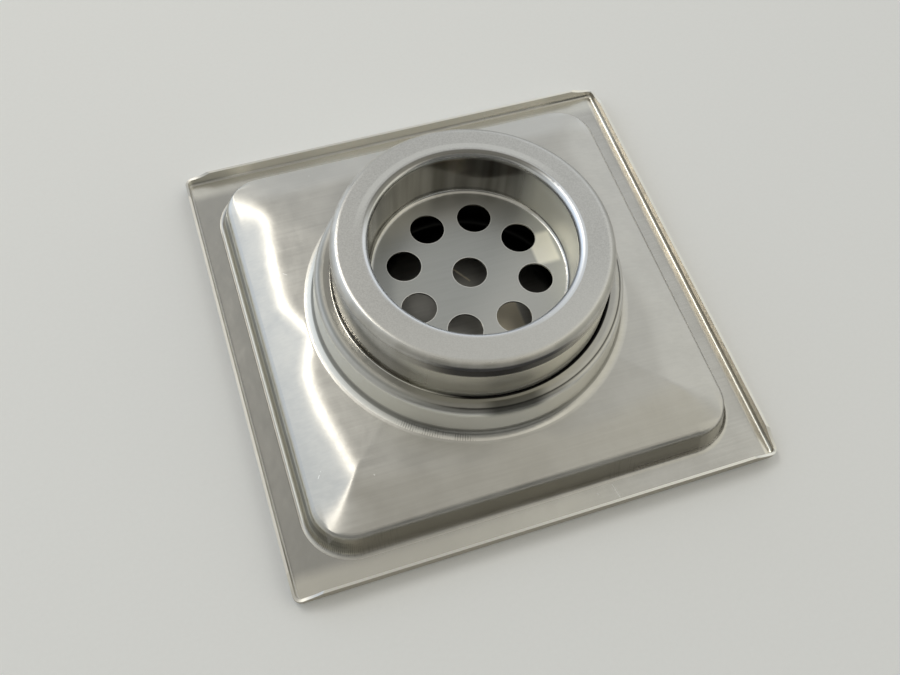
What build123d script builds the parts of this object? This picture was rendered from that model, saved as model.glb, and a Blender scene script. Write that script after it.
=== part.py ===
import os
from math import atan, atan2, cos, degrees, hypot, sin, tan

from build123d import *

os.makedirs("parts", exist_ok=True)

# Sizes in millimetres. The drain lies on its floor face, with the outlet up.
side = 150.0
body_sheet = 0.8
cup_sheet = 0.6
corner_turns = (45, 135, 225, 315)

# Rim folded up round the flange, lower at the four corners
rim_height = 5.0
rim_corner = 2.6
fold_radius = 1.6
dip_radius = 9.8
dip_depth = 1.8
dip_length = 12.0

# Square pan drawn up from the flange
flange_width = 8.7
wall_lean = 2.2
pan_corner = 14.0
pan_top = 9.5
foot_radius = 1.8
shoulder_radius = 2.4

# Sloping pan floor: a bevel along the shoulder, a soft crease, and a flatter slope from square to round
bevel_share = 0.53
bevel_rise = 3.1
crease_corner = 6.0
crease_start_share = 0.75
crease_end_share = 0.2
slope_rise = 0.5
slope_inset = 2.4
slope_flat = 0.5

# Neck of the trap cup, and the round boss with the seat ring round it
neck_radius = 41.4
neck_height = 17.2
neck_clearance = 0.9
boss_width = 5.3
boss_lean = 1.2
boss_height = 13.0
boss_base_radius = 3.2
boss_shoulder_radius = 3.0

# End ring, mouth and strainer of the trap cup
ring_width = 11.0
lip_radius = 2.5
mouth_edge_radius = 2.0
strainer_drop = 0.75
strainer_corner_radius = 1.5
seat_corner_radius = 0.65
strainer_hole_radius = 5.25
strainer_margin = 10.5
strainer_ring_count = 8
strainer_ring_start = -22.5

# Grating tray and the bell on it
grate_sheet = 1.0
grate_clearance = 1.2
grate_height = 8.9
grate_edge_radius = 1.5
slot_width = 4.0
slot_pitch = 7.5
slot_margin = 5.7
slot_ring_count = 3
slot_count = 12
slot_angle = 20.0
corner_slot_angles = (36.0, 20.0)
bell_water_gap = 6.7
bell_corner_radius = 3.0

# Allowance for picking edges by their height
height_slack = 0.01

# Values that follow from the sizes above
pan_foot = side - 2 * flange_width
pan_shoulder = pan_foot - 2 * wall_lean
pan_rise = pan_top - body_sheet
draft = atan2(wall_lean, pan_rise)
wall_inset = body_sheet / cos(draft)
boss_wall_radius = neck_radius + boss_width
boss_foot_radius = boss_wall_radius + boss_lean
slope_round = 2 * (boss_foot_radius - slope_inset)
bevel_width = bevel_share * (pan_shoulder - slope_round) / 2
crease_side = pan_shoulder - 2 * bevel_width
crease_level = pan_top + bevel_rise
slope_top = crease_level + slope_rise
boss_top = slope_top + boss_height
bevel = bevel_rise / bevel_width
slope = 2 * slope_rise / (crease_side - slope_round)
under_top = pan_top - body_sheet * (hypot(1, bevel) - bevel)
under_round = slope_top - body_sheet * (hypot(1, slope) - slope)
pan_mouth = pan_foot + 2 * (body_sheet * tan(draft) - wall_inset)
mouth_corner = pan_corner + body_sheet * tan(draft) - wall_inset
under_lean = under_top * tan(draft)
slope_under = slope_round - 2 * body_sheet
seat_hole_radius = neck_radius + neck_clearance
seat_level = boss_top - body_sheet
seat_rim_radius = boss_wall_radius - boss_shoulder_radius
cup_top = boss_top + neck_height
mouth_radius = neck_radius - ring_width
strainer_top = boss_top - strainer_drop
strainer_ring_radius = mouth_radius - strainer_margin
grate_side = pan_mouth - 2 * grate_clearance
grate_corner = mouth_corner - grate_clearance
grate_inset = grate_sheet * (tan(draft) + 1 / cos(draft))
grate_inside = grate_side - 2 * grate_inset
slot_reach = grate_inside / 2 - slot_margin
bell_radius = (mouth_radius + neck_radius + cup_sheet) / 2
bell_edge = cup_top - cup_sheet - bell_water_gap

# Level sections of the sloping pan floor, each with its side, corner radius and height
shoulder = Vector(pan_shoulder, pan_corner - wall_lean, pan_top)
crease = Vector(crease_side, crease_corner, crease_level)
round_end = Vector(slope_round, (slope_round - slope_flat) / 2, slope_top)
crease_start = shoulder + (crease - shoulder) * crease_start_share
crease_end = crease + (round_end - crease) * crease_end_share
crease_middle = (crease_start + crease * 2 + crease_end) * 0.25
upper_floor = (
    ((shoulder, crease_start), True),
    ((crease_start, crease_middle, crease_end), False),
    ((crease_end, round_end), True),
)

# The same sections on the under side of the sheet
bevel_sheet = Vector(2 * sin(atan(bevel)), sin(atan(bevel)), cos(atan(bevel))) * body_sheet
slope_sheet = Vector(2 * sin(atan(slope)), sin(atan(slope)), cos(atan(slope))) * body_sheet
under_shoulder = Vector(pan_mouth - 2 * under_lean, mouth_corner - under_lean, under_top)
under_start = crease_start - bevel_sheet
under_end = crease_end - slope_sheet
under_middle = crease_middle - (bevel_sheet + slope_sheet) * 0.5
under_round_end = Vector(slope_under, (slope_under - slope_flat) / 2, under_round)
under_floor = (
    ((under_shoulder, under_start), True),
    ((under_start, under_middle, under_end), False),
    ((under_end, under_round_end), True),
)

# Drain body: flange, rim, pan and boss pressed from one sheet
with BuildPart() as drain_body:
    with BuildSketch():
        RectangleRounded(side, side, rim_corner)
    extrude(amount=rim_height)
    fillet(drain_body.faces().sort_by(Axis.Z)[0].edges(), fold_radius)
    with BuildSketch(Plane.XY.offset(body_sheet)):
        RectangleRounded(side - 2 * body_sheet, side - 2 * body_sheet, rim_corner - body_sheet)
    extrude(amount=rim_height, mode=Mode.SUBTRACT)
    flange_top = drain_body.faces().filter_by(Axis.Z).sort_by(Axis.Z)[1]
    fillet(flange_top.edges(), fold_radius - body_sheet)

    # Dips in the rim at the corners
    for turn in corner_turns:
        with BuildSketch(Plane.YZ.rotated((0, 0, turn)).offset(hypot(side, side) / 2 - dip_length)):
            with Locations((0, rim_height - dip_depth + dip_radius)):
                Circle(dip_radius)
        extrude(amount=dip_length, mode=Mode.SUBTRACT)

    # Upper side of the pan, its sloping floor and the boss
    with BuildSketch(Plane.XY.offset(body_sheet)):
        RectangleRounded(pan_foot, pan_foot, pan_corner)
    extrude(amount=pan_rise, taper=degrees(draft))
    for sections, straight in upper_floor:
        for section in sections:
            with BuildSketch(Plane.XY.offset(section.Z)):
                RectangleRounded(section.X, section.X, section.Y)
        loft(ruled=straight)
    edges = drain_body.edges()
    shoulder_edges = edges.filter_by_position(Axis.Z, pan_top - height_slack, pan_top + height_slack)
    fillet(shoulder_edges, shoulder_radius)
    with BuildSketch(Plane.XZ):
        with BuildLine():
            FilletPolyline(
                (0, pan_top),
                (boss_foot_radius, pan_top),
                (boss_wall_radius, boss_top),
                (0, boss_top),
                radius=(0, 0, boss_shoulder_radius, 0),
                close=True,
            )
        make_face()
    revolve(axis=Axis.Z)
    boss_wall = drain_body.faces().filter_by(GeomType.CONE).sort_by(Axis.Z)[-1]
    base_edges = boss_wall.edges().filter_by_position(Axis.Z, pan_top, slope_top)
    fillet(base_edges, boss_base_radius)
    flange_top = drain_body.faces().filter_by(Axis.Z).sort_by(Axis.Z)[1]
    fillet(flange_top.inner_wires()[0].edges(), foot_radius)

    # Under side, one sheet below
    with BuildSketch():
        RectangleRounded(pan_mouth, pan_mouth, mouth_corner)
    extrude(amount=under_top, taper=degrees(draft), mode=Mode.SUBTRACT)
    for sections, straight in under_floor:
        for section in sections:
            with BuildSketch(Plane.XY.offset(section.Z)):
                RectangleRounded(section.X, section.X, section.Y)
        loft(ruled=straight, mode=Mode.SUBTRACT)
    with BuildSketch(Plane.XZ):
        with BuildLine():
            FilletPolyline(
                (0, body_sheet),
                (boss_foot_radius - body_sheet, body_sheet),
                (boss_foot_radius - body_sheet, pan_top),
                (boss_wall_radius - body_sheet, seat_level),
                (0, seat_level),
                radius=(0, 0, 0, boss_shoulder_radius - body_sheet, 0),
                close=True,
            )
        make_face()
    revolve(axis=Axis.Z, mode=Mode.SUBTRACT)
    with BuildSketch(Plane.XY.offset(seat_level)):
        Circle(seat_hole_radius)
    extrude(amount=body_sheet, mode=Mode.SUBTRACT)
    floor_face = drain_body.faces().sort_by(Axis.Z)[0]
    fillet(floor_face.inner_wires()[0].edges(), foot_radius + body_sheet)
    edges = drain_body.edges()
    shoulder_edges = edges.filter_by_position(Axis.Z, under_top - height_slack, under_top + height_slack)
    fillet(shoulder_edges, shoulder_radius - body_sheet)
    boss_lining = drain_body.faces().filter_by(GeomType.CONE).sort_by(Axis.Z)[-2]
    base_edges = boss_lining.edges().filter_by_position(Axis.Z, under_top, slope_top)
    fillet(base_edges, boss_base_radius + body_sheet)

drain_body.part.label = "drain_body"

# Trap cup: neck, end ring and strainer drawn from one sheet
with BuildPart() as trap_cup:
    with BuildSketch(Plane.XZ):
        with BuildLine():
            FilletPolyline(
                (0, strainer_top),
                (mouth_radius, strainer_top),
                (mouth_radius, cup_top),
                (neck_radius, cup_top),
                (neck_radius, seat_level),
                (seat_rim_radius, seat_level),
                radius=(strainer_corner_radius, mouth_edge_radius, lip_radius, seat_corner_radius),
            )
            offset(amount=cup_sheet, side=Side.RIGHT)
        make_face()
    revolve(axis=Axis.Z)
    with BuildSketch(Plane.XY.offset(strainer_top)):
        Circle(strainer_hole_radius)
        with PolarLocations(strainer_ring_radius, strainer_ring_count, strainer_ring_start):
            Circle(strainer_hole_radius)
    extrude(amount=-cup_sheet, mode=Mode.SUBTRACT)

trap_cup.part.label = "trap_cup"

# Grating: slotted tray standing in the pan, flush with the floor face
with BuildPart() as grating:
    with BuildSketch():
        RectangleRounded(grate_side, grate_side, grate_corner)
    extrude(amount=grate_height, taper=degrees(draft))
    fillet(grating.faces().sort_by(Axis.Z)[0].edges(), grate_edge_radius)
    with BuildSketch(Plane.XY.offset(grate_sheet)):
        RectangleRounded(grate_inside, grate_inside, grate_corner - grate_inset)
    extrude(amount=grate_height, taper=degrees(draft), mode=Mode.SUBTRACT)
    tray_floor = grating.faces().filter_by(Axis.Z).sort_by(Axis.Z)[1]
    fillet(tray_floor.edges(), grate_edge_radius - grate_sheet)
    with BuildSketch():
        for ring in range(slot_ring_count):
            slot_arc = Edge.make_circle(slot_reach - ring * slot_pitch, start_angle=0, end_angle=slot_angle)
            with PolarLocations(0, slot_count, -slot_angle / 2):
                SlotArc(slot_arc, slot_width)
        for ring, angle in enumerate(corner_slot_angles, start=1):
            slot_arc = Edge.make_circle(slot_reach + ring * slot_pitch, start_angle=0, end_angle=angle)
            with PolarLocations(0, len(corner_turns), corner_turns[0] - angle / 2):
                SlotArc(slot_arc, slot_width)
    extrude(amount=grate_sheet, mode=Mode.SUBTRACT)

grating.part.label = "grating"

# Bell: water seal cup fixed to the grating, its edge standing in the trap cup
with BuildPart() as bell:
    with BuildSketch(Plane.XZ):
        with BuildLine():
            FilletPolyline(
                (0, grate_sheet),
                (bell_radius, grate_sheet),
                (bell_radius, bell_edge),
                radius=(bell_corner_radius,),
            )
            offset(amount=cup_sheet, side=Side.LEFT)
        make_face()
    revolve(axis=Axis.Z)

bell.part.label = "bell"

export_step(drain_body.part, "parts/drain_body.step")
export_step(trap_cup.part, "parts/trap_cup.step")
export_step(grating.part, "parts/grating.step")
export_step(bell.part, "parts/bell.step")
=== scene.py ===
import bpy
from math import pi
from mathutils import Matrix, Vector

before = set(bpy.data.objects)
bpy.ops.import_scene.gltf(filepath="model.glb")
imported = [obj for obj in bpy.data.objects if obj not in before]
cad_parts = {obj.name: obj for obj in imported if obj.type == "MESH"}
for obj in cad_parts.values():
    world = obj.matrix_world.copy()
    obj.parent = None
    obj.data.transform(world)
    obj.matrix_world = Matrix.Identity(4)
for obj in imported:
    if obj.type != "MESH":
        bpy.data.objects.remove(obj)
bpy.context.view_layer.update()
scene = bpy.context.scene
scene.view_settings.view_transform = "Standard"

# Tones shared by several pieces
# Painted light, on the left pan wall, the foot of the left wall, the neck front and the inner wall
CREAM_PAINTED_LIGHT = (0.97, 0.95, 0.86, 1.0)
SHEET_HIGH = (0.64, 0.63, 0.605, 1.0)
# Painted black shade, in the gap at the seat hole and on the bell walls
BLACK_SHADE = (0.02, 0.02, 0.02, 1.0)

# Tones of the rim and the flange
SHEET_LOW = (0.565, 0.555, 0.53, 1.0)
EDGE_HIGHLIGHT_LEFT = (0.66, 0.65, 0.62, 1.0)
EDGE_HIGHLIGHT_RIGHT = (0.97, 0.96, 0.91, 1.0)
FLANGE_LEFT_SHADE = (0.45, 0.445, 0.425, 1.0)
FLANGE_FRONT_LIGHT = (0.82, 0.80, 0.73, 1.0)
FLANGE_BACK_LIGHT = (0.80, 0.79, 0.74, 1.0)
RIM_WALL_SHADE = (0.46, 0.42, 0.35, 1.0)
RIM_WALL_BACK_LIGHT = (0.86, 0.84, 0.78, 1.0)
RIM_WALL_RIGHT_SHADE = (0.21, 0.185, 0.15, 1.0)
RIM_FOLD_HIGHLIGHT = (0.97, 0.94, 0.85, 1.0)

# Tones of the pan and the boss
BEVEL_BACK_LIGHT = (0.78, 0.78, 0.765, 1.0)
PAN_WALL_SHADE_BAND = (0.45, 0.44, 0.40, 1.0)
PAN_WALL_FRONT_SHADE = (0.36, 0.35, 0.31, 1.0)
PAN_EDGE_SHADE = (0.22, 0.215, 0.20, 1.0)
BOSS_WALL_LIGHT = (0.97, 0.96, 0.90, 1.0)
BOSS_SHADE_LINE = (0.25, 0.25, 0.23, 1.0)
BOSS_FOOT_HIGHLIGHT = (0.93, 0.915, 0.87, 1.0)
SEAT_SHADE = (0.23, 0.225, 0.20, 1.0)
SEAT_DARK_REFLECTION = (0.08, 0.08, 0.07, 1.0)
DRAW_MARK = (0.16, 0.155, 0.14, 1.0)
SCRATCH = (0.9, 0.9, 0.88, 1.0)

# Tones of the cup
CUP_LOW = (0.52, 0.505, 0.47, 1.0)
CUP_HIGH = (0.63, 0.615, 0.585, 1.0)
SATIN_LOW = (0.57, 0.565, 0.55, 1.0)
SATIN_HIGH = (0.67, 0.665, 0.65, 1.0)
RING_FRONT_LIGHT = (0.78, 0.775, 0.755, 1.0)
STRAINER_LOW = (0.40, 0.41, 0.405, 1.0)
STRAINER_HIGH = (0.425, 0.435, 0.43, 1.0)
STRAINER_RIGHT_LIGHT = (0.62, 0.62, 0.60, 1.0)
STRAINER_BACK_LIGHT = (0.58, 0.58, 0.56, 1.0)
STRAINER_REFLECTION_PATCH = (0.97, 0.95, 0.87, 1.0)
HOLE_EDGE_HIGHLIGHT = (0.74, 0.74, 0.72, 1.0)
INNER_SHADE = (0.15, 0.145, 0.125, 1.0)
NECK_GAP_SHADE = (0.015, 0.015, 0.015, 1.0)
LIP_SHADE = (0.04, 0.04, 0.045, 1.0)
RING_FOLD_HIGHLIGHT = (0.84, 0.87, 0.92, 1.0)
RING_HOLLOW_SHADE = (0.17, 0.165, 0.15, 1.0)
RING_SHEEN = (0.85, 0.85, 0.83, 1.0)
RING_ROLL_SHADE = (0.33, 0.335, 0.33, 1.0)

# Tones of the grating, the bell and the floor
GRATING_LOW = (0.55, 0.54, 0.515, 1.0)
BELL_LOW = (0.46, 0.45, 0.43, 1.0)
BELL_HIGH = (0.54, 0.53, 0.505, 1.0)
BELL_LIT_PATCH_AND_SCRATCH = (0.97, 0.90, 0.76, 1.0)
FLOOR_LOW = (0.87, 0.875, 0.88, 1.0)
FLOOR_HIGH = (0.90, 0.905, 0.91, 1.0)

# Light of the sky by direction
SKY_MIDDLE_FRONT = (0.46, 0.445, 0.40, 1.0)
SKY_MIDDLE_BACK = (0.37, 0.37, 0.355, 1.0)
SKY_LOW_BACK = (0.54, 0.545, 0.53, 1.0)
SKY_RIGHT_FRONT = (0.82, 0.80, 0.70, 1.0)
SKY_RIGHT_BACK = (0.78, 0.80, 0.80, 1.0)
SKY_LEFT_FRONT = (0.50, 0.50, 0.46, 1.0)
SKY_LEFT_BACK = (0.97, 1.07, 1.18, 1.0)
SKY_LOW_FRONT = (0.15, 0.15, 0.14, 1.0)

# Sizes, in millimetres unless a name says metres
MILLIMETRES_PER_METRE = 1000.0
HOLE_COUNT = 8
HOLE_CIRCLE_RADIUS = 19.9
PAN_CORNER_CENTRE = (-52.3, -52.3)
FLOOR_SIZE_METRES = 6.0
FLOOR_DROP_METRES = 0.0002

# Soft borders in millimetres: where the zone begins to show and where it shows fully
FLANGE_HEIGHT = (1.3, 1.0)
HOLE_EDGE_REACH = (5.5, 5.36)

# Zones of the pieces: from, to and the width of the soft border, in millimetres or radians
PAN_WALL_REACH = (62.0, 67.5, 0.5)
BOSS_RADII = (43.6, 51.0, 0.6)
BOSS_WALL_HEIGHTS = (16.6, 24.0, 0.9)
BOSS_SHADE_LINE_RADII = (47.6, 48.1, 0.25)
BOSS_SHADE_LINE_HEIGHTS = (14.1, 15.3, 0.4)
BOSS_FOOT_RADII = (48.5, 49.6, 0.3)
BOSS_FOOT_HEIGHTS = (13.1, 14.1, 0.3)
SEAT_PATCH_RADII = (43.6, 46.6, 0.5)
SEAT_PATCH_TURNS = (-1.72, -1.5, 0.14)
GAP_TURNS = (-1.9, 0.2, 0.4)
NECK_FRONT_TURNS = (-2.1, -0.6, 0.4)
LIP_HEIGHTS = (38.2, 41.8, 0.7)
LIP_TURNS = (-2.0, -1.4, 0.35)
INNER_SHADE_TURNS = (0.5, 3.2, 0.5)
INNER_LIT_TURNS = (-0.6, 0.5, 0.3)
RING_RADII = (31.6, 39.4, 0.9)
RING_FOLD_RADII = (30.6, 31.6, 0.4)
RING_FOLD_RIGHT_RADII = (31.4, 32.5, 0.3)
RING_HOLLOW_RADII = (31.3, 32.1, 0.5)
RING_SHEEN_RADII = (33.3, 34.4, 0.6)

# Middle part of a noise that is spread over a whole range
NOISE_SPAN = (0.3, 0.7)

# Key light and camera
KEY_DIRECTION = (-0.27, 0.48, 0.835)
KEY_DISTANCE_METRES = 1.3
KEY_WIDTH_METRES = 0.14
KEY_LENGTH_METRES = 0.5
KEY_WATTS = 2.4
KEY_COLOUR = (1.0, 0.95, 0.84)
CAMERA_PLACE_METRES = (-0.06994, -0.14846, 0.28304)
CAMERA_TURN = (0.957325, 0.239221, -0.064366, -0.148858)
CAMERA_SENSOR = 36.0
CAMERA_LENS = 40.5


class Shader:
    """Short calls for wiring one node tree."""

    def __init__(self, tree):
        self.tree = tree
        self.tree.nodes.clear()

    def node(self, kind, inputs=None, **settings):
        made = self.tree.nodes.new(kind)
        for name, value in settings.items():
            setattr(made, name, value)
        for key, value in (inputs or {}).items():
            self.feed(made.inputs[key], value)
        return made

    def feed(self, socket, value):
        if isinstance(value, bpy.types.NodeSocket):
            self.tree.links.new(value, socket)
        else:
            socket.default_value = value

    def math(self, operation, first, second=0.0, third=0.0):
        made = self.node("ShaderNodeMath", {0: first, 1: second, 2: third}, operation=operation)
        return made.outputs[0]

    def chain(self, operation, values):
        total = values[0]
        for value in values[1:]:
            total = self.math(operation, total, value)
        return total

    def add(self, *values):
        return self.chain("ADD", values)

    def times(self, *values):
        return self.chain("MULTIPLY", values)

    def most(self, *values):
        return self.chain("MAXIMUM", values)

    def length(self, dx, dy):
        return self.math("SQRT", self.add(self.times(dx, dx), self.times(dy, dy)))

    def ramp(self, value, low, high, start=0.0, end=1.0):
        """Smooth step of value from low to high, giving start to end."""
        made = self.node("ShaderNodeMapRange", interpolation_type="SMOOTHSTEP")
        self.feed(made.inputs["Value"], value)
        self.feed(made.inputs["From Min"], low)
        self.feed(made.inputs["From Max"], high)
        self.feed(made.inputs["To Min"], start)
        self.feed(made.inputs["To Max"], end)
        return made.outputs["Result"]

    def band(self, value, low, high, soft):
        """One between low and high, falling to zero over soft on both sides."""
        rise = self.ramp(value, low - soft, low)
        fall = self.ramp(value, high, high + soft, 1.0, 0.0)
        return self.math("MULTIPLY", rise, fall)

    def between(self, kind, share, first, second):
        made = self.node("ShaderNodeMix", data_type=kind)
        self.feed(made.inputs["Factor"], share)
        self.feed(made.inputs["A"], first)
        self.feed(made.inputs["B"], second)
        return made.outputs["Result"]

    def mix(self, share, first, second):
        return self.between("RGBA", share, first, second)

    def blend(self, share, first, second):
        return self.between("FLOAT", share, first, second)

    def vector(self, operation, inputs):
        return self.node("ShaderNodeVectorMath", inputs, operation=operation).outputs[0]

    def noise(self, vector, scale, detail=2.0, stretch=(1.0, 1.0, 1.0)):
        scaled = self.vector("MULTIPLY", {0: vector, 1: stretch})
        made = self.node("ShaderNodeTexNoise", {"Vector": scaled, "Scale": scale, "Detail": detail})
        return made.outputs["Fac"]

    def across(self, x, y, centre):
        """Distance and turn round an upright line through centre."""
        dx = self.math("SUBTRACT", x, centre[0])
        dy = self.math("SUBTRACT", y, centre[1])
        return self.length(dx, dy), self.math("ARCTAN2", dy, dx)

    def stroke(self, x, y, start, end, width):
        """One on a straight line from start to end, falling to zero over width."""
        begin = Vector(start)
        run = Vector(end) - begin
        length = run.length
        run = run / length
        dx = self.math("SUBTRACT", x, begin.x)
        dy = self.math("SUBTRACT", y, begin.y)
        along = self.add(self.times(dx, run.x), self.times(dy, run.y))
        aside = self.math("SUBTRACT", self.times(dx, run.y), self.times(dy, run.x))
        aside = self.math("ABSOLUTE", aside)
        core = self.ramp(aside, width * 0.3, width, 1.0, 0.0)
        return self.times(core, self.band(along, 0.0, length, width))


class Coat:
    """Places on a piece in millimetres, and its tone and roughness as they are laid on in turn."""

    def __init__(self, name):
        self.material = bpy.data.materials.new(name)
        self.material.use_nodes = True
        self.shader = Shader(self.material.node_tree)
        coords = self.shader.node("ShaderNodeTexCoord").outputs["Object"]
        self.place = self.shader.vector("SCALE", {0: coords, "Scale": MILLIMETRES_PER_METRE})
        self.x, self.y, self.z = self.shader.node("ShaderNodeSeparateXYZ", {0: self.place}).outputs
        self.radius = self.shader.length(self.x, self.y)
        self.turn = self.shader.math("ARCTAN2", self.y, self.x)
        self.normal = self.shader.node("ShaderNodeNewGeometry").outputs["Normal"]
        self.upright = self.shader.node("ShaderNodeSeparateXYZ", {0: self.normal}).outputs[2]
        self.wide = self.shader.math("ABSOLUTE", self.x)
        self.deep = self.shader.math("ABSOLUTE", self.y)
        self.outside = self.shader.most(self.wide, self.deep)
        self.tone = None
        self.matt = None

    def tint(self, share, colour):
        self.tone = self.shader.mix(share, self.tone, colour)

    def dull(self, share, roughness):
        self.matt = self.shader.blend(share, self.matt, roughness)

    def paint(self, metallic, normal=None, tangent=None, anisotropy=0.0):
        inputs = {"Base Color": self.tone, "Roughness": self.matt, "Metallic": metallic}
        made = self.shader.node("ShaderNodeBsdfPrincipled", inputs)
        made.inputs["Anisotropic"].default_value = anisotropy
        if normal:
            self.shader.feed(made.inputs["Normal"], normal)
        if tangent:
            self.shader.feed(made.inputs["Tangent"], tangent)
        self.shader.node("ShaderNodeOutputMaterial", {"Surface": made.outputs[0]})
        return self.material


def dress(node, material):
    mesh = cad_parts[node].data
    mesh.materials.clear()
    mesh.materials.append(material)


def pan_floor(coat):
    """Normal of the pan floor with the crease of its bevels drawn in at the boss and the corners."""
    shader = coat.shader
    reach = coat.outside
    along = shader.math("MINIMUM", coat.wide, coat.deep)
    back = shader.ramp(coat.y, -20.0, 20.0)

    # Crease between slope and bevel, and the tilt on both sides of it
    drawn_in = shader.times(shader.ramp(along, 15.0, 60.0), shader.ramp(back, 0.0, 1.0, -6.6, -3.2))
    beside_boss = shader.ramp(along, -2.0, 14.0, -5.5, 0.0)
    crease = shader.add(shader.ramp(back, 0.0, 1.0, 54.9, 56.0), drawn_in, beside_boss)
    beyond = shader.math("SUBTRACT", reach, crease)
    tilt = shader.ramp(beyond, -5.0, 4.4, 0.03, 0.31)

    # Rounded hips from the boss to the pan corners
    hip = shader.add(shader.ramp(reach, 49.0, 63.0, 1.2, 11.0), shader.ramp(back, 0.0, 1.0, 0.0, 6.0))
    aside = shader.blend(shader.ramp(coat.x, -10.0, 10.0), shader.ramp(reach, 47.0, 60.0, -2.7, 3.2), -2.0)
    aside = shader.times(aside, shader.ramp(back, 0.0, 1.0, 1.0, 0.0))
    share = shader.add(shader.math("SUBTRACT", coat.wide, coat.deep), aside)
    share = shader.math("DIVIDE", share, hip)
    lean_x = shader.times(shader.math("SIGN", coat.x), shader.ramp(share, -0.2, 1.2), tilt)
    lean_y = shader.times(shader.math("SIGN", coat.y), shader.ramp(share, 0.2, -1.2), tilt)
    ideal = shader.node("ShaderNodeCombineXYZ", {0: lean_x, 1: lean_y, 2: 1.0}).outputs[0]
    ideal = shader.vector("NORMALIZE", {0: ideal})

    # Only on the floor itself, between the boss foot and the pan edge
    here = shader.times(shader.ramp(reach, 62.0, 60.5), shader.ramp(coat.radius, 50.2, 51.4))
    here = shader.times(here, shader.band(coat.z, 9.6, 13.6, 0.2), shader.ramp(coat.upright, 0.8, 0.88))
    made = shader.node("ShaderNodeMix", data_type="VECTOR")
    shader.feed(made.inputs[0], here)
    shader.feed(made.inputs[4], coat.normal)
    shader.feed(made.inputs[5], ideal)
    return shader.vector("NORMALIZE", {0: made.outputs[1]})


def rim_and_flange(coat, steep):
    """Cut edge and walls of the rim, the smoother flange and its duller folds, with painted light and shade:
    a painted highlight on the cut edge and along the right fold, the flange painted darker on the left and
    lighter at the front and back, and painted shade on the rim walls.
    """
    shader = coat.shader
    x, y, z = coat.x, coat.y, coat.z
    # Painted highlight on the cut edge of the rim, growing stronger to the right; the edge is also rougher
    edge = shader.times(shader.ramp(coat.outside, 74.05, 74.2), shader.ramp(z, 2.4, 2.8))
    edge = shader.times(edge, shader.ramp(coat.upright, 0.5, 0.8))
    coat.tint(edge, shader.mix(shader.ramp(x, -70.0, 70.0), EDGE_HIGHLIGHT_LEFT, EDGE_HIGHLIGHT_RIGHT))
    coat.dull(edge, 0.42)

    flange = shader.times(shader.ramp(z, *FLANGE_HEIGHT), shader.ramp(coat.upright, 0.97, 0.99))
    coat.dull(flange, 0.24)
    folds = shader.times(shader.ramp(coat.upright, 0.9995, 0.99), shader.ramp(z, 3.6, 2.4))
    coat.dull(folds, shader.ramp(x, -40.0, 40.0, 0.42, 0.27))
    # Flange painted darker on the left as painted shade, and lighter at the front and the back as painted
    # light
    coat.tint(shader.times(flange, shader.ramp(x, -50.0, -68.0)), FLANGE_LEFT_SHADE)
    front = shader.times(shader.ramp(y, -65.0, -70.0), shader.ramp(x, 40.0, 0.0, 0.0, 0.7))
    coat.tint(shader.times(flange, front), FLANGE_FRONT_LIGHT)
    coat.tint(shader.times(flange, shader.ramp(y, 66.0, 70.0, 0.0, 0.8)), FLANGE_BACK_LIGHT)

    # Painted shade on the rim walls, lighter at the back as painted light and darkest inside the right rim
    wall = shader.times(shader.ramp(coat.outside, 73.0, 73.6), shader.ramp(z, 1.0, 2.0), steep)
    shade = shader.mix(shader.ramp(y, 71.0, 73.0), RIM_WALL_SHADE, RIM_WALL_BACK_LIGHT)
    right_inside = shader.times(shader.ramp(x, 73.2, 73.8), shader.ramp(x, 74.8, 74.5))
    shade = shader.mix(right_inside, shade, RIM_WALL_RIGHT_SHADE)
    coat.tint(shader.times(wall, 0.9), shade)
    # Painted highlight along the fold of the right rim
    right_fold = shader.times(shader.band(x, 72.4, 73.7, 0.8), shader.ramp(z, *FLANGE_HEIGHT))
    coat.tint(right_fold, RIM_FOLD_HIGHLIGHT)


def pan_sides(coat, steep):
    """Back bevel, left and front wall of the pan, and the foot of the left wall, with painted light and
    shade: a lighter back bevel, a lighter left wall with a band of painted shade, a shaded front wall, and a
    painted highlight and shade line at the foot of the left wall.
    """
    shader = coat.shader
    x, y, z = coat.x, coat.y, coat.z
    # Painted light on the back bevel
    bevel = shader.times(shader.ramp(y, 50.0, 56.0, 0.0, 0.5), shader.band(z, 9.4, 12.6, 0.3))
    coat.tint(bevel, BEVEL_BACK_LIGHT)
    walls = shader.times(shader.band(coat.outside, *PAN_WALL_REACH), steep)
    # Left pan wall painted lighter as painted light, with a band of painted shade across its middle
    left_tone = shader.mix(shader.band(z, 4.4, 6.2, 0.8), CREAM_PAINTED_LIGHT, PAN_WALL_SHADE_BAND)
    coat.tint(shader.times(walls, shader.ramp(x, -50.0, -62.0)), left_tone)
    straight = shader.ramp(coat.deep, 56.0, 50.0)
    # Painted highlight along the foot of the left wall, and painted shade just outside it
    foot = shader.times(shader.band(x, -67.0, -66.0, 0.2), shader.ramp(z, 2.6, 2.0), straight)
    coat.tint(foot, CREAM_PAINTED_LIGHT)
    edge = shader.times(shader.band(x, -67.8, -67.3, 0.2), shader.ramp(z, 1.2, 1.0), straight)
    coat.tint(shader.times(edge, 0.75), PAN_EDGE_SHADE)
    # Painted shade on the front pan wall, deeper towards its top
    front = shader.times(walls, shader.ramp(y, -50.0, -62.0))
    coat.tint(shader.times(front, shader.ramp(z, 1.6, 3.6, 0.2, 0.7)), PAN_WALL_FRONT_SHADE)


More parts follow.
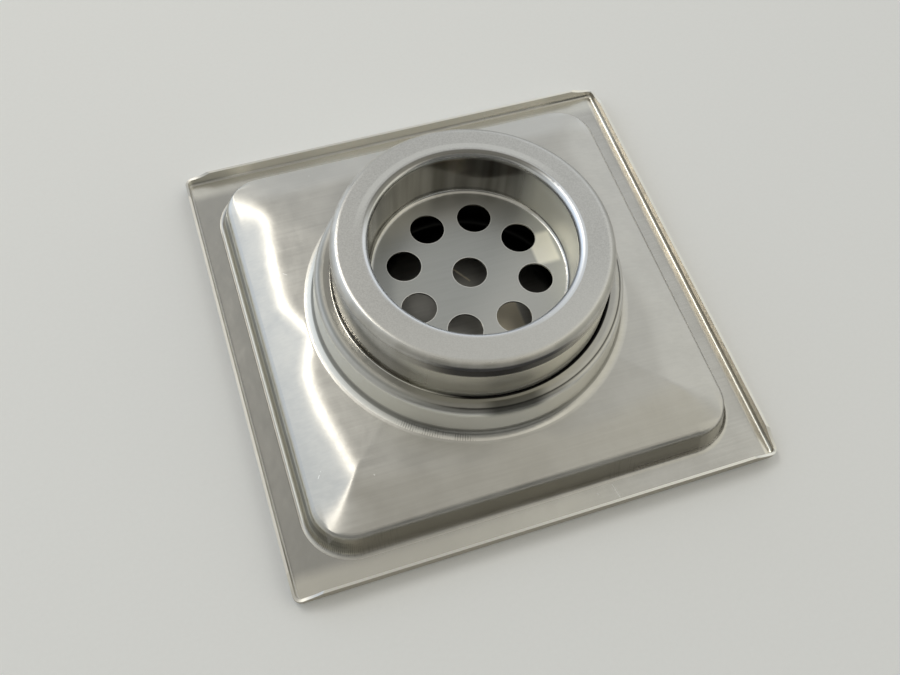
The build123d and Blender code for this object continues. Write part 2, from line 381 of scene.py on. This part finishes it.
def boss_ring(coat):
    """Roughness of the boss, with painted light and shade: light on its wall, a line of shade round the wall
    and a highlight at its foot, shade on its seat ring with a dark reflection at the front, and black shade
    at the edge of the seat hole.
    """
    shader = coat.shader
    x, y, z, radius, turn = coat.x, coat.y, coat.z, coat.radius, coat.turn
    left = shader.ramp(x, -24.0, -40.0)
    boss = shader.times(shader.band(radius, *BOSS_RADII), shader.ramp(z, 12.9, 13.3))
    coat.dull(shader.times(boss, left), 0.5)
    coat.dull(shader.times(boss, shader.ramp(left, 1.0, 0.0)), 0.3)

    # Painted light on the boss wall, strongest to the left
    wall = shader.times(shader.band(z, *BOSS_WALL_HEIGHTS), shader.ramp(coat.upright, 0.6, 0.3))
    wall = shader.times(wall, shader.ramp(radius, 48.0, 47.6), shader.ramp(radius, 45.0, 45.6))
    coat.tint(shader.times(wall, shader.ramp(x, 30.0, -10.0, 0.5, 1.0)), BOSS_WALL_LIGHT)
    coat.dull(wall, 0.5)
    # Painted line of shade round the boss wall
    shade_line = shader.times(shader.band(radius, *BOSS_SHADE_LINE_RADII), shader.band(z, *BOSS_SHADE_LINE_HEIGHTS))
    coat.tint(shader.times(shade_line, 0.6), BOSS_SHADE_LINE)

    # Painted shade on the seat ring, deeper to the front left
    seat = shader.times(shader.ramp(radius, 46.0, 45.2), shader.ramp(z, 25.0, 25.5))
    front_left = shader.ramp(shader.add(shader.times(x, 0.8), shader.times(y, 0.6)), -8.0, -28.0)
    coat.tint(shader.times(seat, shader.ramp(front_left, 0.0, 1.0, 0.3, 0.7)), SEAT_SHADE)
    # Painted dark reflection on the front of the seat ring
    patch = shader.times(shader.band(radius, *SEAT_PATCH_RADII), shader.ramp(z, 22.0, 24.0))
    patch = shader.times(patch, shader.band(turn, *SEAT_PATCH_TURNS))
    coat.tint(shader.times(patch, 0.8), SEAT_DARK_REFLECTION)
    # Painted black shade at the edge of the seat hole, in the gap at the front and right
    hole = shader.most(shader.ramp(z, 25.9, 25.7), shader.ramp(radius, 42.7, 42.4))
    coat.tint(shader.times(seat, hole, shader.band(turn, *GAP_TURNS)), BLACK_SHADE)
    # Painted highlight along the foot of the boss, to the front left
    foot = shader.times(shader.band(radius, *BOSS_FOOT_RADII), shader.band(z, *BOSS_FOOT_HEIGHTS))
    coat.tint(shader.times(foot, front_left), BOSS_FOOT_HIGHLIGHT)


def draw_marks(coat, worn):
    """Draw marks at the foot of the boss, in the front left pan corner and on the front pan wall."""
    shader = coat.shader
    patchy = shader.ramp(worn, 0.35, 0.6)
    tick = shader.math("SINE", shader.times(coat.turn, 420.0))
    foot = shader.times(shader.band(coat.radius, 48.0, 49.6, 0.4), shader.band(coat.turn, -2.28, -1.9, 0.08))
    foot = shader.times(foot, shader.ramp(coat.z, 15.5, 14.0), shader.ramp(tick, -0.3, 0.5), patchy)
    reach, bend = shader.across(coat.x, coat.y, PAN_CORNER_CENTRE)
    rib = shader.math("SINE", shader.times(bend, 150.0))
    corner = shader.times(shader.band(reach, 12.6, 14.4, 0.4), shader.band(bend, -2.6, -1.7, 0.12))
    corner = shader.times(corner, shader.ramp(rib, -0.3, 0.5), patchy)
    line = shader.noise(coat.place, 1.9, 1.0, (1.0, 0.05, 0.05))
    worked = shader.most(shader.band(coat.x, -52.0, -44.0, 3.0), shader.band(coat.x, 24.0, 30.0, 3.0))
    wall = shader.times(shader.band(coat.y, -66.6, -64.2, 0.2), worked)
    wall = shader.times(wall, shader.ramp(line, 0.48, 0.66, 0.0, 0.5))
    coat.tint(shader.times(shader.most(foot, corner, wall), 0.4), DRAW_MARK)


def scratches(coat, worn):
    """Short scratches and specks on the flange and the pan floor."""
    shader = coat.shader
    x, y = coat.x, coat.y
    broken = shader.stroke(x, y, (-57.7, -41.5), (-60.3, -45.5), 0.16)
    lines = shader.most(
        shader.stroke(x, y, (23.1, -68.4), (23.8, -72.7), 0.2),
        shader.stroke(x, y, (17.8, -69.8), (18.0, -70.0), 0.3),
        shader.stroke(x, y, (-52.8, 23.4), (-51.8, 22.6), 0.2),
        shader.times(broken, shader.ramp(worn, 0.45, 0.55)),
        shader.stroke(x, y, (-44.5, -48.8), (-44.4, -49.0), 0.25),
        shader.stroke(x, y, (-35.4, 59.2), (-35.2, 59.1), 0.25),
    )
    coat.tint(lines, SCRATCH)
    coat.dull(lines, 0.5)


def body_steel():
    """Rolled sheet with its grain along x, cut rim edges, draw marks and a few scratches, and painted light
    and shade on the rim, flange, pan and boss.
    """
    coat = Coat("body_steel")
    shader = coat.shader
    grain = shader.noise(coat.place, 1.3, 4.0, (0.035, 1.0, 1.0))
    fine = shader.noise(coat.place, 5.0, 2.0, (0.05, 1.0, 1.0))
    cloud = shader.noise(coat.place, 0.09, 3.0)
    worn = shader.noise(coat.place, 0.7, 2.0)
    flat = shader.ramp(coat.upright, 0.5, 0.9)
    steep = shader.ramp(coat.upright, 0.75, 0.45)
    streak = shader.blend(shader.times(flat, 0.4), cloud, grain)
    coat.tone = shader.mix(shader.ramp(streak, *NOISE_SPAN), SHEET_LOW, SHEET_HIGH)
    coat.matt = shader.ramp(streak, *NOISE_SPAN, 0.31, 0.41)
    rim_and_flange(coat, steep)
    pan_sides(coat, steep)
    boss_ring(coat)
    draw_marks(coat, worn)
    scratches(coat, worn)

    # Slightly uneven sheet with fine grain on its level faces, and gloss drawn out across the grain
    uneven = {"Height": cloud, "Strength": flat, "Distance": 0.00012, "Normal": pan_floor(coat)}
    uneven = shader.node("ShaderNodeBump", uneven).outputs["Normal"]
    level = shader.ramp(coat.upright, 0.93, 0.96, 0.0, 0.07)
    bump = {"Height": fine, "Strength": level, "Distance": 0.0001, "Normal": uneven}
    bump = shader.node("ShaderNodeBump", bump).outputs["Normal"]
    side = shader.vector("CROSS_PRODUCT", {0: coat.normal, 1: (0.0, 1.0, 0.3)})
    tangent = shader.vector("CROSS_PRODUCT", {0: side, 1: coat.normal})
    return coat.paint(1.0, bump, tangent, 0.42)


def strainer_sheet(coat):
    """Tone of the strainer: rolled grain, with painted light that makes it lighter to the right and the
    back, and one painted patch of reflected light.
    """
    shader = coat.shader
    grain = shader.noise(coat.place, 1.3, 3.0, (0.05, 1.0, 1.0))
    sheet = shader.mix(shader.ramp(grain, 0.2, 0.8), STRAINER_LOW, STRAINER_HIGH)
    # Painted light, lighter to the right and to the back
    to_right = shader.ramp(shader.math("SUBTRACT", coat.x, coat.y), 0.0, 24.0, 0.0, 0.5)
    sheet = shader.mix(to_right, sheet, STRAINER_RIGHT_LIGHT)
    sheet = shader.mix(shader.ramp(coat.y, 14.0, 24.0), sheet, STRAINER_BACK_LIGHT)
    # Painted patch of reflected light on the right of the strainer
    patch = shader.times(shader.band(coat.x, 21.5, 27.5, 1.2), shader.band(coat.y, -2.5, 6.5, 2.0))
    return shader.mix(patch, sheet, STRAINER_REFLECTION_PATCH)


def neck(coat):
    """Painted light on the front of the neck, painted shade in the gap at its foot and a painted dark
    reflection under the lip.
    """
    shader = coat.shader
    z, turn = coat.z, coat.turn
    outer = shader.ramp(coat.radius, 40.4, 41.0)
    # Painted light on the front of the neck
    glow = shader.times(outer, shader.ramp(z, 39.0, 37.0), shader.band(turn, *NECK_FRONT_TURNS))
    coat.tint(glow, CREAM_PAINTED_LIGHT)
    coat.dull(glow, shader.ramp(z, 27.6, 28.6, 0.5, 0.3))
    # Painted shade in the gap at the foot of the neck
    gap = shader.times(outer, shader.ramp(z, 25.8, 25.65), shader.band(turn, *GAP_TURNS))
    coat.tint(gap, NECK_GAP_SHADE)
    # Painted dark reflection under the lip
    lip = shader.times(outer, shader.band(z, *LIP_HEIGHTS), shader.band(turn, *LIP_TURNS))
    coat.tint(shader.times(lip, 0.92), LIP_SHADE)


def ring_folds(coat):
    """Painted highlight on the inner fold of the end ring, painted shade and sheen behind it, painted shade
    on the outer roll at the right, and its duller outer shoulder.
    """
    shader = coat.shader
    x, y, z, radius = coat.x, coat.y, coat.z, coat.radius
    # Painted highlight on the inner fold of the end ring, also on the right
    fold = shader.times(shader.band(radius, *RING_FOLD_RADII), shader.ramp(z, 41.4, 42.2))
    fold = shader.times(fold, shader.ramp(y, 24.0, 8.0, 0.3, 1.0))
    right = shader.times(shader.ramp(x, 0.0, 20.0), shader.ramp(y, 24.0, 8.0))
    fold = shader.most(fold, shader.times(shader.band(radius, *RING_FOLD_RIGHT_RADII), right))
    coat.tint(fold, RING_FOLD_HIGHLIGHT)
    coat.dull(fold, 0.38)
    # Painted shade and painted sheen on the ring behind the fold
    behind = shader.times(shader.ramp(y, 8.0, 24.0), shader.ramp(z, 42.6, 42.9))
    coat.tint(shader.times(shader.band(radius, *RING_HOLLOW_RADII), behind, 0.85), RING_HOLLOW_SHADE)
    coat.tint(shader.times(shader.band(radius, *RING_SHEEN_RADII), behind, 0.5), RING_SHEEN)
    # Painted shade on the outer roll of the ring to the right
    rolled = shader.times(shader.ramp(radius, 39.4, 40.1), shader.ramp(z, 42.0, 42.5))
    coat.tint(shader.times(rolled, shader.ramp(x, 0.0, 15.0), 0.6), RING_ROLL_SHADE)
    coat.dull(shader.times(shader.ramp(radius, 39.6, 40.4), shader.ramp(z, 40.6, 41.4)), 0.48)


def hole_edges(coat, strainer):
    """Painted highlight round each strainer hole."""
    shader = coat.shader
    half = pi / HOLE_COUNT
    lift = shader.math("WRAP", shader.math("ADD", coat.turn, half), half, -half)
    dx = shader.times(coat.radius, shader.math("COSINE", lift))
    dx = shader.math("SUBTRACT", dx, HOLE_CIRCLE_RADIUS)
    dy = shader.times(coat.radius, shader.math("SINE", lift))
    reach = shader.math("MINIMUM", shader.length(dx, dy), coat.radius)
    # Painted highlight round each hole
    edge = shader.times(shader.ramp(reach, *HOLE_EDGE_REACH), strainer)
    coat.tint(shader.times(edge, 0.8), HOLE_EDGE_HIGHLIGHT)
    coat.dull(edge, 0.45)


def cup_steel():
    """Drawn cup: satin end ring, polished walls, rolled strainer with painted highlights round its holes,
    and painted light and shade on the ring, the neck and the inner wall.
    """
    coat = Coat("cup_steel")
    shader = coat.shader
    z, radius = coat.z, coat.radius
    ring = shader.times(shader.ramp(z, 41.9, 42.9), shader.band(radius, *RING_RADII))
    strainer = shader.times(shader.ramp(z, 27.6, 26.4), shader.ramp(radius, 30.0, 28.6))
    strainer = shader.times(strainer, shader.ramp(coat.upright, 0.2, 0.5))
    inner = shader.times(shader.ramp(radius, 31.6, 31.0), shader.ramp(z, 41.8, 40.6))
    inner = shader.times(inner, shader.ramp(coat.upright, 0.5, 0.2))
    speckle = shader.noise(coat.place, 2.6, 3.0)
    drawn = shader.noise(coat.place, 0.24, 2.0, (1.0, 1.0, 0.06))
    satin = shader.mix(shader.ramp(speckle, *NOISE_SPAN), SATIN_LOW, SATIN_HIGH)
    # Painted light on the front of the end ring
    satin = shader.mix(shader.ramp(coat.y, -10.0, -36.0, 0.0, 0.5), satin, RING_FRONT_LIGHT)
    coat.tone = shader.mix(shader.ramp(drawn, *NOISE_SPAN), CUP_LOW, CUP_HIGH)
    coat.tint(ring, satin)
    coat.tint(strainer, strainer_sheet(coat))
    coat.matt = shader.ramp(drawn, *NOISE_SPAN, 0.13, 0.18)
    coat.dull(ring, 0.31)
    coat.dull(strainer, 0.4)

    # Inner wall, with streaked painted shade at the back and painted light on the right
    shade = shader.times(inner, shader.band(coat.turn, *INNER_SHADE_TURNS))
    coat.tint(shader.times(shade, shader.ramp(drawn, *NOISE_SPAN, 0.9, 0.6)), INNER_SHADE)
    lit = shader.times(inner, shader.band(coat.turn, *INNER_LIT_TURNS))
    coat.tint(lit, CREAM_PAINTED_LIGHT)
    coat.dull(lit, 0.65)
    neck(coat)
    ring_folds(coat)
    hole_edges(coat, strainer)
    bump = {"Height": speckle, "Strength": shader.times(ring, 0.08), "Distance": 0.0001}
    return coat.paint(1.0, shader.node("ShaderNodeBump", bump).outputs["Normal"])


def plain_sheet(name, low, high, roughness):
    """Satin sheet with a faint grain."""
    coat = Coat(name)
    shader = coat.shader
    grain = shader.noise(coat.place, 1.3, 3.0, (0.05, 1.0, 1.0))
    cloud = shader.noise(coat.place, 0.08, 2.0)
    streak = shader.add(shader.times(grain, 0.5), shader.times(cloud, 0.5))
    coat.tone = shader.mix(shader.ramp(streak, *NOISE_SPAN), low, high)
    coat.matt = shader.ramp(streak, *NOISE_SPAN, roughness - 0.03, roughness + 0.03)
    return coat


def grating_steel():
    """Floor grating, seen only from below."""
    return plain_sheet("grating_steel", GRATING_LOW, SHEET_HIGH, 0.25).paint(1.0)


def bell_steel():
    """Bell seen through the strainer: a painted patch of light and a scratch on its floor, and its walls
    painted black as shade.
    """
    coat = plain_sheet("bell_steel", BELL_LOW, BELL_HIGH, 0.32)
    shader = coat.shader
    # Painted patch of light on the bell floor; the scratch is its own mark
    patch = shader.times(shader.band(coat.x, 6.0, 16.6, 1.0), shader.band(coat.y, -12.0, 2.0, 2.0))
    scratch = shader.stroke(coat.x, coat.y, (1.5, 16.3), (5.3, 10.6), 0.45)
    bright = shader.most(patch, scratch)
    coat.tint(bright, BELL_LIT_PATCH_AND_SCRATCH)
    coat.dull(bright, 0.6)
    # Walls and everything above the floor painted black as shade
    coat.tint(shader.most(shader.ramp(coat.z, 2.0, 5.0), shader.ramp(coat.radius, 27.0, 31.0)), BLACK_SHADE)
    return coat.paint(1.0)


def floor_look():
    """Pale matt floor with a faint speckle."""
    coat = Coat("floor_look")
    coat.tone = coat.shader.mix(coat.shader.noise(coat.place, 0.8, 3.0), FLOOR_LOW, FLOOR_HIGH)
    coat.matt = 0.7
    return coat.paint(0.0)


dress("drain_body", body_steel())
dress("trap_cup", cup_steel())
dress("grating", grating_steel())
dress("bell", bell_steel())

# Floor
bpy.ops.mesh.primitive_plane_add(size=FLOOR_SIZE_METRES, location=(0.0, 0.0, -FLOOR_DROP_METRES))
floor = bpy.context.object
floor.name = "floor"
floor.data.materials.append(floor_look())

# World: grey overhead, brighter to both sides, cool at the back, warm and then dark low in front
world = bpy.data.worlds.new("studio")
scene.world = world
world.use_nodes = True
shader = Shader(world.node_tree)
direction = shader.node("ShaderNodeTexCoord").outputs["Generated"]
dx, dy, dz = shader.node("ShaderNodeSeparateXYZ", {0: direction}).outputs
cool = shader.ramp(dy, -0.1, 0.65)
middle = shader.mix(cool, SKY_MIDDLE_FRONT, SKY_MIDDLE_BACK)
right = shader.mix(cool, SKY_RIGHT_FRONT, SKY_RIGHT_BACK)
left = shader.mix(cool, SKY_LEFT_FRONT, SKY_LEFT_BACK)
middle = shader.mix(shader.ramp(dy, 0.48, 0.62), middle, SKY_LOW_BACK)
sky = shader.mix(shader.ramp(dx, 0.05, 0.6), middle, right)
sky = shader.mix(shader.ramp(dx, -0.12, -0.5), sky, left)
front = shader.math("SUBTRACT", shader.times(dy, -0.98), shader.times(dx, 0.15))
low = shader.times(shader.ramp(front, 0.5, 0.68), shader.ramp(dz, 0.62, 0.9, 1.0, 0.0))
sky = shader.mix(low, sky, SKY_LOW_FRONT)
light = shader.node("ShaderNodeBackground", {"Color": sky, "Strength": 1.0})
shader.node("ShaderNodeOutputWorld", {"Surface": light.outputs[0]})

# Key strip light behind and to the left, long from front to back
key_direction = Vector(KEY_DIRECTION).normalized()
key_side = key_direction.cross(Vector((0.0, 1.0, 0.0))).normalized()
key_along = key_direction.cross(key_side)
key_turn = Matrix((key_side, key_along, key_direction)).transposed().to_4x4()
key_data = bpy.data.lights.new("key", "AREA")
key_data.shape = "RECTANGLE"
key_data.size = KEY_WIDTH_METRES
key_data.size_y = KEY_LENGTH_METRES
key_data.energy = KEY_WATTS
key_data.color = KEY_COLOUR
key = bpy.data.objects.new("key", key_data)
key.matrix_world = Matrix.Translation(key_direction * KEY_DISTANCE_METRES) @ key_turn
scene.collection.objects.link(key)

# Camera
camera_data = bpy.data.cameras.new("camera")
camera_data.sensor_width = CAMERA_SENSOR
camera_data.lens = CAMERA_LENS
camera = bpy.data.objects.new("camera", camera_data)
camera.location = CAMERA_PLACE_METRES
camera.rotation_mode = "QUATERNION"
camera.rotation_quaternion = CAMERA_TURN
scene.collection.objects.link(camera)
scene.camera = camera
